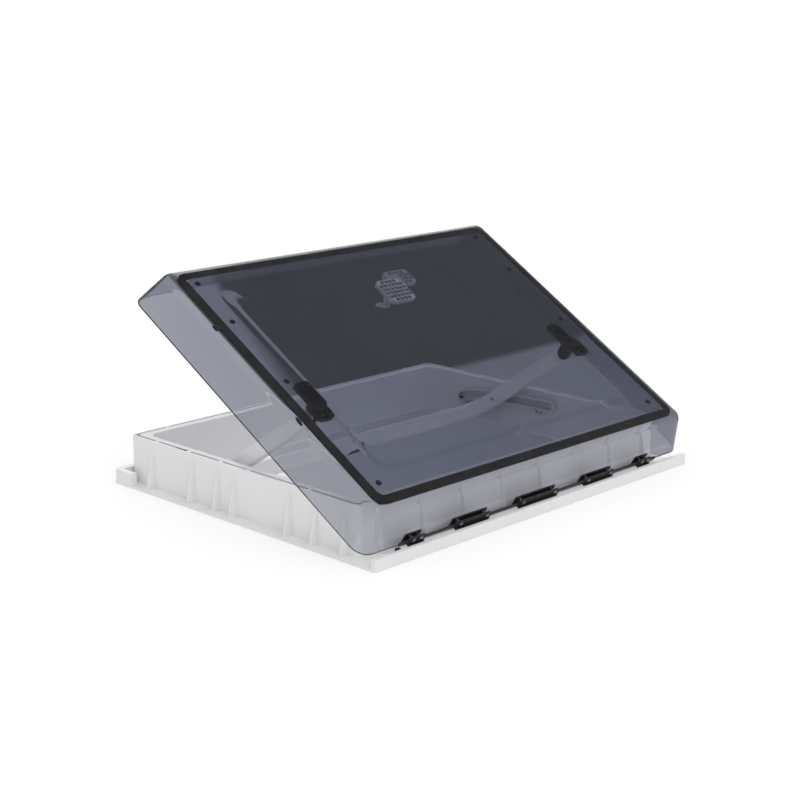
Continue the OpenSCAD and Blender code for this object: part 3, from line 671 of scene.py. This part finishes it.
low, high = corners_of(points_of("bow_pin_right", dome_place))
head_r, head_in, bore_gap = 9 * mm, high.x - 2.4 * mm, 0.05 * mm
bow_pin = turned([(0, low.x), (bow_pin_r - 0.6 * mm, low.x), (bow_pin_r, low.x + 0.6 * mm),
                  (bow_pin_r, head_in), (head_r, head_in), (head_r, high.x - 0.7 * mm),
                  (head_r - 0.7 * mm, high.x),
                  (5.6 * mm, high.x), (5 * mm, high.x - 1.2 * mm), (2.6 * mm, high.x - 1.2 * mm),
                  (2.2 * mm, high.x - 0.4 * mm), (0, high.x - 0.3 * mm)], 48)
for side, turn in sides:
    piece(merged([(bow_pin, dome_place @ pivot_shift @ turn @ along_x)]), "pin_" + side, screw_black, "dome",
          "black_plastic", "bow_pin_" + side)
white_nylon = moulded_plastic("white_nylon", (0.76, 0.76, 0.72), 0.42, shade=0.94, grain=1300.0, relief=0.06)
low, high = solids_of("bow_washers", dome_place)[1]
pin_bore, washer_edge = bow_pin_r + bore_gap, 0.4 * mm
washer = turned([(pin_bore, low.x), (head_r - washer_edge, low.x), (head_r, low.x + washer_edge),
                 (head_r, high.x - washer_edge), (head_r - washer_edge, high.x), (pin_bore, high.x)], 40)
piece(merged([(washer, dome_place @ pivot_shift @ turn @ along_x) for _, turn in sides]), "washers",
      white_nylon, "dome", "white_nylon", "bow_washers")


# ---- Catch ----------------------------------------------------------------------------------------
# A grey nylon catch on the inner pane: a cored two-lobed foot with two ears, and a hook on a steel pin
# that turns under the bow's crossbar when the vent is shut.

grey_nylon = moulded_plastic("grey_nylon", (0.50, 0.51, 0.53), 0.40, shade=0.92, grain=1300.0, relief=0.10,
                             wear=0.2, worn=(0.5, 0.5, 0.52))
catch_pivot = dome_place.inverted() @ Vector(joints["catch_turn"]["pos_m"])
top = corners_of(points_of("catch_base", dome_place))[1].z
foot_t, ear_r, ear_t, ear_offset, inset = 7 * mm, 6 * mm, 4 * mm, 9.4 * mm, 0.1 * mm
rib, well_depth = 1.8 * mm, 5 * mm
under = top - foot_t
foot = cored_foot(((44, 471, 60, 58, 10), (80, 500, 60, 40, 9)), under, top, rib, well_depth)
for shift in (-1, 1):
    x = catch_pivot.x + shift * ear_offset
    ear = rod_along_z(ear_r, -ear_t / 2, ear_t / 2, 40)
    ear = merged([(ear, Matrix.Translation((x, catch_pivot.y, catch_pivot.z)) @ along_x)])
    web = block((x - ear_t / 2 + inset, catch_pivot.y - ear_r + inset, catch_pivot.z),
                (x + ear_t / 2 - inset, catch_pivot.y + ear_r - inset, under + overlap))
    foot = combined(foot, combined(ear, web, "UNION"), "UNION")
piece(merged([(foot, dome_place)]), "catch_foot", grey_nylon, "dome", "grey_plastic", "catch_base")
piece(upright_screws("catch_screws", bracket_screw, head_t), "catch_screw_pair", zinc_steel, "dome",
      "steel", "catch_screws")
piece(softened("catch_pin", 0.3 * mm), "catch_rod", zinc_steel, "dome", "steel", "catch_pin")
piece(softened("catch_hook", 0.9 * mm, 3), "hook", grey_nylon, "catch_lever", "grey_plastic", "catch_hook")


# ---- Bow ------------------------------------------------------------------------------------------
# A U-shaped bow, blow moulded in light grey ABS: two arms with round eyes, two wide bends and a crossbar.
# Its section is an oblong with well rounded edges, and it is bored for its pins and its button.

guide = Vector(joints["roller_right_spin"]["pos_m"])
bow_pivot = Vector(joints["bow_swing"]["pos_m"])
run = guide - bow_pivot
guide_reach = math.hypot(run.y, run.z)
bow_place = Matrix.Translation(bow_pivot) @ Matrix.Rotation(math.atan2(run.z, run.y), 4, "X")
high = corners_of(points_of("bow_bar", bow_place))[1]
bow_t, bow_half, bend_r, edge_r = 14 * mm, high.z, 45 * mm, 5.8 * mm
eye_r, axle_r, button_gap = 8 * mm, 2.5 * mm, 0.3 * mm
arm_in, arm_out = high.x - bow_t, high.x
arm_x, reach = high.x - bow_t / 2, high.y - bow_t / 2
section = rounded(-bow_t / 2, -bow_half, bow_t / 2, bow_half, edge_r, 6)


def station(x, y, angle, flat=1.0):
    """The bow's section at one place along it, turned to face outwards and flattened towards the tips."""
    return [(x + out * math.cos(angle), y + out * math.sin(angle), height * flat) for out, height in section]


tip_angle, tip_steps, bend_steps = math.radians(82), 6, 16
tip = [tip_angle * i / tip_steps for i in range(tip_steps, -1, -1)]
stations = [station(arm_x, -bow_half * math.sin(lean), 0, math.cos(lean)) for lean in tip]
for centre_x, begin in ((arm_x - bend_r, 0), (bend_r - arm_x, math.pi / 2)):
    for i in range(bend_steps + 1):
        angle = begin + i * math.pi / (2 * bend_steps)
        x, y = centre_x + bend_r * math.cos(angle), reach - bend_r + bend_r * math.sin(angle)
        stations.append(station(x, y, angle))
stations += [station(-arm_x, -bow_half * math.sin(lean), math.pi, math.cos(lean)) for lean in reversed(tip)]
bow = skinned(stations)
for hole_r, y in ((eye_r, 0.0), (axle_r, guide_reach)):
    drill = rod_along_z(hole_r, -2 * arm_out, 2 * arm_out)
    bow = combined(bow, merged([(drill, Matrix.Translation((0, y, 0)) @ along_x)]))
button = corners_of(points_of("lock_button", bow_place))
room = Vector((button_gap, button_gap, 0))
spring_room = Vector((0, 0, 3.5 * mm))
bow = combined(bow, block(button[0] - room, button[1] + room + spring_room))
bow.transform(bow_place)
bow_abs = moulded_plastic("bow_abs", (0.72, 0.72, 0.735), 0.33, shade=0.965, grain=800.0, relief=0.03,
                          wear=0.15)
piece(bow, "bow", bow_abs, "bow", "bow_plastic", "bow_bar", sharp=40)


# ---- Bushes, rollers and their pins -----------------------------------------------------------------
# Black nylon bushes are pressed into the bow's eyes. Natural nylon rollers turn on plated steel pins in
# the arms and run in the side rails.

bush = turned([(pin_bore, arm_in), (7.2 * mm, arm_in - 0.15 * mm), (eye_r, arm_in + 0.2 * mm),
               (eye_r, arm_out - 0.2 * mm), (7.2 * mm, arm_out + 0.15 * mm), (pin_bore, arm_out)], 48)
guide_place = bow_place @ Matrix.Translation((0, guide_reach, 0))
low, high = corners_of(points_of("roller_pin_right", guide_place))
rivet_r = 3.4 * mm
axle = turned([(0, low.x - 0.5 * mm), (2.4 * mm, low.x - 0.5 * mm), (rivet_r, low.x - 0.1 * mm),
               (rivet_r, low.x), (axle_r, low.x), (axle_r, high.x - 0.4 * mm), (2.1 * mm, high.x),
               (0, high.x)])
low, high = corners_of(points_of("guide_roller_right", guide_place))
roller_r, roller_bore, rim = high.z, axle_r + bore_gap, 0.7 * mm
roller = turned([(roller_bore, low.x), (roller_r - rim, low.x), (roller_r, low.x + rim),
                 (roller_r, high.x - rim), (roller_r - rim, high.x), (4 * mm, high.x),
                 (3.8 * mm, high.x - 0.6 * mm), (roller_bore, high.x - 0.6 * mm)], 40)
for side, turn in sides:
    piece(merged([(bush, bow_place @ turn @ along_x)]), "bush_" + side, black_nylon, "bow", "black_plastic",
          "bow_bush_" + side)
    piece(merged([(axle, guide_place @ turn @ along_x)]), "axle_" + side, zinc_steel, "bow", "steel",
          "roller_pin_" + side)
    piece(merged([(roller, guide_place @ turn @ along_x)]), "roller_" + side, white_nylon, "roller_" + side,
          "white_nylon", "guide_roller_" + side)


# ---- Lock button ----------------------------------------------------------------------------------
# A dark grey button in the underside of the crossbar, on a small steel spring. Pushing it in frees the
# bow from the catch.

dark_nylon = moulded_plastic("dark_nylon", (0.055, 0.058, 0.065), 0.42, shade=0.85, grain=1500.0, relief=0.12,
                             wear=0.3, worn=(0.2, 0.2, 0.21))
low, high = button
grip = block(low, high)
round_edges(grip, hard_edges(grip, 60), 0.7 * mm, 3)
groove_pitch, half_groove, groove_depth = 3 * mm, 0.5 * mm, 0.6 * mm
for i in range(-3, 4):
    x = i * groove_pitch
    grip = combined(grip, block((x - half_groove, low.y - overlap, low.z - overlap),
                                (x + half_groove, high.y + overlap, low.z + groove_depth)))
piece(merged([(grip, bow_place)]), "button_grip", dark_nylon, "button", "button_plastic", "lock_button")

low, high = corners_of(points_of("lock_spring", bow_place))
wire_r, coil_r, coils, steps = 0.4 * mm, 2.4 * mm, 4, 24
spring = bmesh.new()
bmesh.ops.create_circle(spring, cap_ends=True, segments=8, radius=wire_r,
                        matrix=Matrix.Translation((coil_r, reach, low.z + wire_r))
                        @ Matrix.Rotation(math.pi / 2, 4, "X"))
rise = (high.z - low.z - 2 * wire_r) / (coils * steps)
bmesh.ops.spin(spring, geom=spring.verts[:] + spring.edges[:] + spring.faces[:], cent=(0, reach, 0),
               axis=(0, 0, 1), dvec=(0, 0, rise), angle=math.tau * coils, steps=coils * steps)
bmesh.ops.recalc_face_normals(spring, faces=spring.faces)
spring.transform(bow_place)
piece(spring, "spring", zinc_steel, "bow", "steel", "lock_spring")


# ---- Floor, light and camera ----------------------------------------------------------------------
# A white paper floor under soft light. Seen through the acrylic or mirrored in a piece, the floor glows
# with painted light and shade: grey near the frame and dark behind it, as a lit table in front of a dark
# wall that ends at the left.

def floor_paper():
    """White matt paper; rays through the acrylic or off a piece see it glow with painted light and shade."""
    material = bpy.data.materials.new("floor_paper")
    material.use_nodes = True
    tree = material.node_tree
    shader = tree.nodes["Principled BSDF"]
    shader.inputs["Base Color"].default_value = (0.9, 0.9, 0.9, 1)
    shader.inputs["Roughness"].default_value = 0.9
    shader.inputs["Specular IOR Level"].default_value = 0
    glow = tree.nodes.new("ShaderNodeEmission")
    glow.inputs["Strength"].default_value = 0.16
    add = tree.nodes.new("ShaderNodeAddShader")
    join(tree, shader, "BSDF", add, 0)
    join(tree, glow, "Emission", add, 1)
    path = tree.nodes.new("ShaderNodeLightPath")
    direct = tree.nodes.new("ShaderNodeMixShader")
    join(tree, path, "Is Camera Ray", direct, "Fac")
    join(tree, shader, "BSDF", direct, 1)
    join(tree, add, "Shader", direct, 2)
    coords = tree.nodes.new("ShaderNodeTexCoord")
    split = tree.nodes.new("ShaderNodeSeparateXYZ")
    join(tree, coords, "Object", split, "Vector")
    # Painted shade: the dark wall, beyond the frame and right of a slanting line
    beyond = remap(tree, split, "Y", 0.45, 0.49)
    rightwards, painted_wall_shade, painted_near_light, painted_far_light = (0.846, -0.533, 0), 0.13, 0.44, 0.58
    to_right = tree.nodes.new("ShaderNodeVectorMath")
    to_right.operation = "DOT_PRODUCT"
    to_right.inputs[1].default_value = rightwards
    join(tree, coords, "Object", to_right, 0)
    right_of = remap(tree, to_right, "Value", -0.10, -0.07)
    dark = maths(tree, "MULTIPLY", beyond, "Result", right_of, "Result")
    # Painted light on the table, brighter towards the left
    painted_table_light = remap(tree, to_right, "Value", -0.3, 0.1, painted_far_light, painted_near_light)
    level = tree.nodes.new("ShaderNodeMix")
    level.inputs["B"].default_value = painted_wall_shade
    join(tree, dark, "Value", level, "Factor")
    join(tree, painted_table_light, "Result", level, "A")
    # The painted light and shade glow from the floor, only for rays through the acrylic and mirrored rays
    painted_backdrop_glow = tree.nodes.new("ShaderNodeEmission")
    painted_backdrop_glow.inputs["Color"].default_value = (0.92, 0.94, 1.0, 1)
    join(tree, level, "Result", painted_backdrop_glow, "Strength")
    mix = tree.nodes.new("ShaderNodeMixShader")
    indirect = maths(tree, "MAXIMUM", path, "Is Transmission Ray", path, "Is Glossy Ray")
    join(tree, indirect, "Value", mix, "Fac")
    join(tree, direct, "Shader", mix, 1)
    join(tree, painted_backdrop_glow, "Emission", mix, 2)
    join(tree, mix, "Shader", tree.nodes["Material Output"], "Surface")
    return material


sheet = bmesh.new()
bmesh.ops.create_grid(sheet, x_segments=1, y_segments=1, size=40)
floor_mesh = bpy.data.meshes.new("floor")
sheet.to_mesh(floor_mesh)
sheet.free()
floor_mesh.materials.append(floor_paper())
floor = bpy.data.objects.new("floor", floor_mesh)
floor.location.z = -0.2 * mm
bpy.context.scene.collection.objects.link(floor)

world = bpy.data.worlds.new("studio")
bpy.context.scene.world = world
world.use_nodes = True
tree = world.node_tree
sky = tree.nodes["Background"]
sky.inputs["Color"].default_value = (1, 1, 1, 1)
path = tree.nodes.new("ShaderNodeLightPath")
coords = tree.nodes.new("ShaderNodeTexCoord")
direction = tree.nodes.new("ShaderNodeSeparateXYZ")
join(tree, coords, "Generated", direction, "Vector")
source, output = remap(tree, direction, "Z", -0.1, 1.0, 0.62, 1.0), "Result"
far_side = maths(tree, "MULTIPLY", remap(tree, direction, "Y", 0.25, 0.45), "Result",
                 remap(tree, direction, "X", 0.2, 0.5), "Result")
mirror_glow = remap(tree, far_side, "Value", 0.0, 1.0, 0.10, 1.4)
# Mirrored rays see a dark room with one bright wall, and rays through the acrylic see a dark one
for ray, level in (("Is Glossy Ray", mirror_glow), ("Is Transmission Ray", 0.12), ("Is Camera Ray", 1.0)):
    choice = tree.nodes.new("ShaderNodeMix")
    join(tree, path, ray, choice, "Factor")
    join(tree, source, output, choice, "A")
    if isinstance(level, float):
        choice.inputs["B"].default_value = level
    else:
        join(tree, level, "Result", choice, "B")
    source, output = choice, "Result"
join(tree, source, output, sky, "Strength")

lamp = bpy.data.lights.new("window", "SUN")
lamp.energy = 0.55
lamp.angle = math.radians(35)
window = bpy.data.objects.new("window", lamp)
window.rotation_euler = Vector((0.35, 0.8, -0.5)).to_track_quat("-Z", "Y").to_euler()
bpy.context.scene.collection.objects.link(window)

camera = bpy.data.cameras.new("camera")
camera.sensor_width = 36
camera.lens = 75.37
viewer = bpy.data.objects.new("camera", camera)
look = Vector((0.69723, 0.67127, -0.25154)).normalized()
roll = math.radians(0.33)
across = look.cross(Vector((0, 0, 1))).normalized()
upward = across.cross(look)
right = across * math.cos(roll) + upward * math.sin(roll)
up = upward * math.cos(roll) - across * math.sin(roll)
aim = Matrix((right, up, -look)).transposed().to_4x4()
viewer.matrix_world = Matrix.Translation((-2.0653, -1.9752, 0.8763)) @ aim
bpy.context.scene.collection.objects.link(viewer)
bpy.context.scene.camera = viewer
bpy.context.scene.view_settings.view_transform = "Standard"
